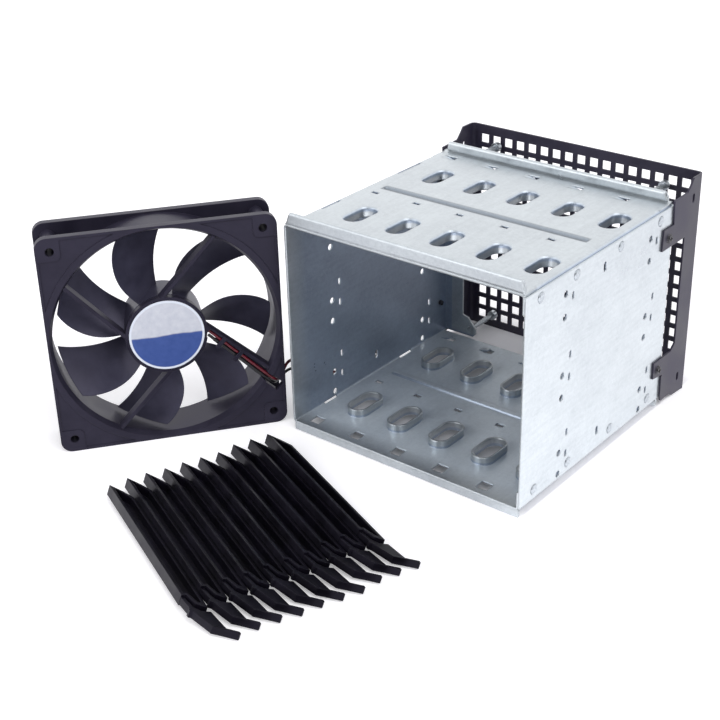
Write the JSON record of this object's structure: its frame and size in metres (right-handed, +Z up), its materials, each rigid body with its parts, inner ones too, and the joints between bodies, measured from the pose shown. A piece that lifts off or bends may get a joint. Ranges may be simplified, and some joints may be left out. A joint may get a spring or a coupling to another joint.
{
  "type": "hot swap drive cage",
  "caption": "Folded steel cage that holds hard drives behind a screwed-on mesh bezel, set out with its loose cooling fan and snap-in drive rails.",
  "frame": {"origin": "on the floor, under the middle of the whole set's box", "axes": "+Y from the cage's open front towards the mesh bezel, +Z up"},
  "size_m": [0.2446, 0.3156, 0.1251],
  "materials": {
    "zinc_steel": "galvanised satin sheet",
    "rivet_steel": "pressed satin",
    "bezel_paint": "black powder coat",
    "black_screw": "black oxide",
    "zinc_screw": "zinc plated",
    "fan_plastic": "fine moulded grain",
    "rotor_plastic": "satin moulded",
    "label_face": "coated film, white over blue, no print",
    "bearing_steel": "ground",
    "circuit_board": "solder mask",
    "core_steel": "stamped laminations",
    "copper_wire": "enamelled copper",
    "magnet": "bonded ferrite",
    "clip_plastic": "natural nylon",
    "wire_red": "soft PVC",
    "wire_black": "soft PVC",
    "connector_nylon": "black nylon",
    "rail_plastic": "satin black moulding"
  },
  "bodies": {
    "cage": {"cage_shell": "zinc_steel", "side_panel": "zinc_steel", "clinch_rivets": "rivet_steel", "mesh_bezel": "bezel_paint", "bezel_screws": "black_screw", "fan_screws": "zinc_screw"},
    "fan": {"fan_frame": "fan_plastic", "fan_label": "label_face", "fan_bearings": "bearing_steel", "fan_circuit_board": "circuit_board", "stator_core": "core_steel", "stator_windings": "copper_wire", "lead_red": "wire_red", "lead_black": "wire_black", "lead_coil": "wire_black", "fan_connector": "connector_nylon"},
    "rotor": {"fan_rotor": "rotor_plastic", "rotor_yoke": "core_steel", "rotor_magnet": "magnet", "fan_shaft": "bearing_steel", "retaining_clip": "clip_plastic"},
    "rail_1": {"drive_rail_1": "rail_plastic"},
    "latch_1": {"rail_latch_1": "rail_plastic"},
    "rail_2": {"drive_rail_2": "rail_plastic"},
    "latch_2": {"rail_latch_2": "rail_plastic"},
    "rail_3": {"drive_rail_3": "rail_plastic"},
    "latch_3": {"rail_latch_3": "rail_plastic"},
    "rail_4": {"drive_rail_4": "rail_plastic"},
    "latch_4": {"rail_latch_4": "rail_plastic"},
    "rail_5": {"drive_rail_5": "rail_plastic"},
    "latch_5": {"rail_latch_5": "rail_plastic"},
    "rail_6": {"drive_rail_6": "rail_plastic"},
    "latch_6": {"rail_latch_6": "rail_plastic"},
    "rail_7": {"drive_rail_7": "rail_plastic"},
    "latch_7": {"rail_latch_7": "rail_plastic"},
    "rail_8": {"drive_rail_8": "rail_plastic"},
    "latch_8": {"rail_latch_8": "rail_plastic"},
    "rail_9": {"drive_rail_9": "rail_plastic"},
    "latch_9": {"rail_latch_9": "rail_plastic"},
    "rail_10": {"drive_rail_10": "rail_plastic"},
    "latch_10": {"rail_latch_10": "rail_plastic"}
  },
  "joints": [
    {"name": "fan_lift", "type": "slide", "parent": "cage", "child": "fan", "axis": [0, 0, 1], "range_m": [0, 0.13]},
    {"name": "rotor_spin", "type": "hinge", "parent": "fan", "child": "rotor", "pos_m": [-0.07644, -0.04184, 0.0597], "axis": [-0.7986, 0.6018, 0], "continuous": true},
    {"name": "rail_1_lift", "type": "slide", "parent": "cage", "child": "rail_1", "axis": [0.1463, 0.3271, 0.9336], "range_m": [0, 0.03]},
    {"name": "latch_1_flex", "type": "hinge", "parent": "rail_1", "child": "latch_1", "pos_m": [0.04186, -0.15242, 0.00473], "axis": [0.1463, 0.3271, 0.9336], "range_deg": [0, 4], "stiffness_Nm_per_rad": 0.5},
    {"name": "rail_2_lift", "type": "slide", "parent": "cage", "child": "rail_2", "axis": [0.1454, 0.3276, 0.9336], "range_m": [0, 0.03]},
    {"name": "latch_2_flex", "type": "hinge", "parent": "rail_2", "child": "latch_2", "pos_m": [0.04418, -0.14253, 0.00473], "axis": [0.1454, 0.3276, 0.9336], "range_deg": [0, 4], "stiffness_Nm_per_rad": 0.5},
    {"name": "rail_3_lift", "type": "slide", "parent": "cage", "child": "rail_3", "axis": [0.1444, 0.328, 0.9336], "range_m": [0, 0.03]},
    {"name": "latch_3_flex", "type": "hinge", "parent": "rail_3", "child": "latch_3", "pos_m": [0.04814, -0.13337, 0.00473], "axis": [0.1444, 0.328, 0.9336], "range_deg": [0, 4], "stiffness_Nm_per_rad": 0.5},
    {"name": "rail_4_lift", "type": "slide", "parent": "cage", "child": "rail_4", "axis": [0.1434, 0.3284, 0.9336], "range_m": [0, 0.03]},
    {"name": "latch_4_flex", "type": "hinge", "parent": "rail_4", "child": "latch_4", "pos_m": [0.05265, -0.12445, 0.00473], "axis": [0.1434, 0.3284, 0.9336], "range_deg": [0, 4], "stiffness_Nm_per_rad": 0.5},
    {"name": "rail_5_lift", "type": "slide", "parent": "cage", "child": "rail_5", "axis": [0.1424, 0.3288, 0.9336], "range_m": [0, 0.03]},
    {"name": "latch_5_flex", "type": "hinge", "parent": "rail_5", "child": "latch_5", "pos_m": [0.05579, -0.11492, 0.00473], "axis": [0.1424, 0.3288, 0.9336], "range_deg": [0, 4], "stiffness_Nm_per_rad": 0.5},
    {"name": "rail_6_lift", "type": "slide", "parent": "cage", "child": "rail_6", "axis": [0.1415, 0.3293, 0.9336], "range_m": [0, 0.03]},
    {"name": "latch_6_flex", "type": "hinge", "parent": "rail_6", "child": "latch_6", "pos_m": [0.05985, -0.1058, 0.00473], "axis": [0.1415, 0.3293, 0.9336], "range_deg": [0, 4], "stiffness_Nm_per_rad": 0.5},
    {"name": "rail_7_lift", "type": "slide", "parent": "cage", "child": "rail_7", "axis": [0.1405, 0.3297, 0.9336], "range_m": [0, 0.03]},
    {"name": "latch_7_flex", "type": "hinge", "parent": "rail_7", "child": "latch_7", "pos_m": [0.06372, -0.09659, 0.00473], "axis": [0.1405, 0.3297, 0.9336], "range_deg": [0, 4], "stiffness_Nm_per_rad": 0.5},
    {"name": "rail_8_lift", "type": "slide", "parent": "cage", "child": "rail_8", "axis": [0.1395, 0.3301, 0.9336], "range_m": [0, 0.03]},
    {"name": "latch_8_flex", "type": "hinge", "parent": "rail_8", "child": "latch_8", "pos_m": [0.06484, -0.08617, 0.00473], "axis": [0.1395, 0.3301, 0.9336], "range_deg": [0, 4], "stiffness_Nm_per_rad": 0.5},
    {"name": "rail_9_lift", "type": "slide", "parent": "cage", "child": "rail_9", "axis": [0.1385, 0.3305, 0.9336], "range_m": [0, 0.03]},
    {"name": "latch_9_flex", "type": "hinge", "parent": "rail_9", "child": "latch_9", "pos_m": [0.06835, -0.0768, 0.00473], "axis": [0.1385, 0.3305, 0.9336], "range_deg": [0, 4], "stiffness_Nm_per_rad": 0.5},
    {"name": "rail_10_lift", "type": "slide", "parent": "cage", "child": "rail_10", "axis": [0.1375, 0.3309, 0.9336], "range_m": [0, 0.03]},
    {"name": "latch_10_flex", "type": "hinge", "parent": "rail_10", "child": "latch_10", "pos_m": [0.07203, -0.06752, 0.00473], "axis": [0.1375, 0.3309, 0.9336], "range_deg": [0, 4], "stiffness_Nm_per_rad": 0.5}
  ]
}
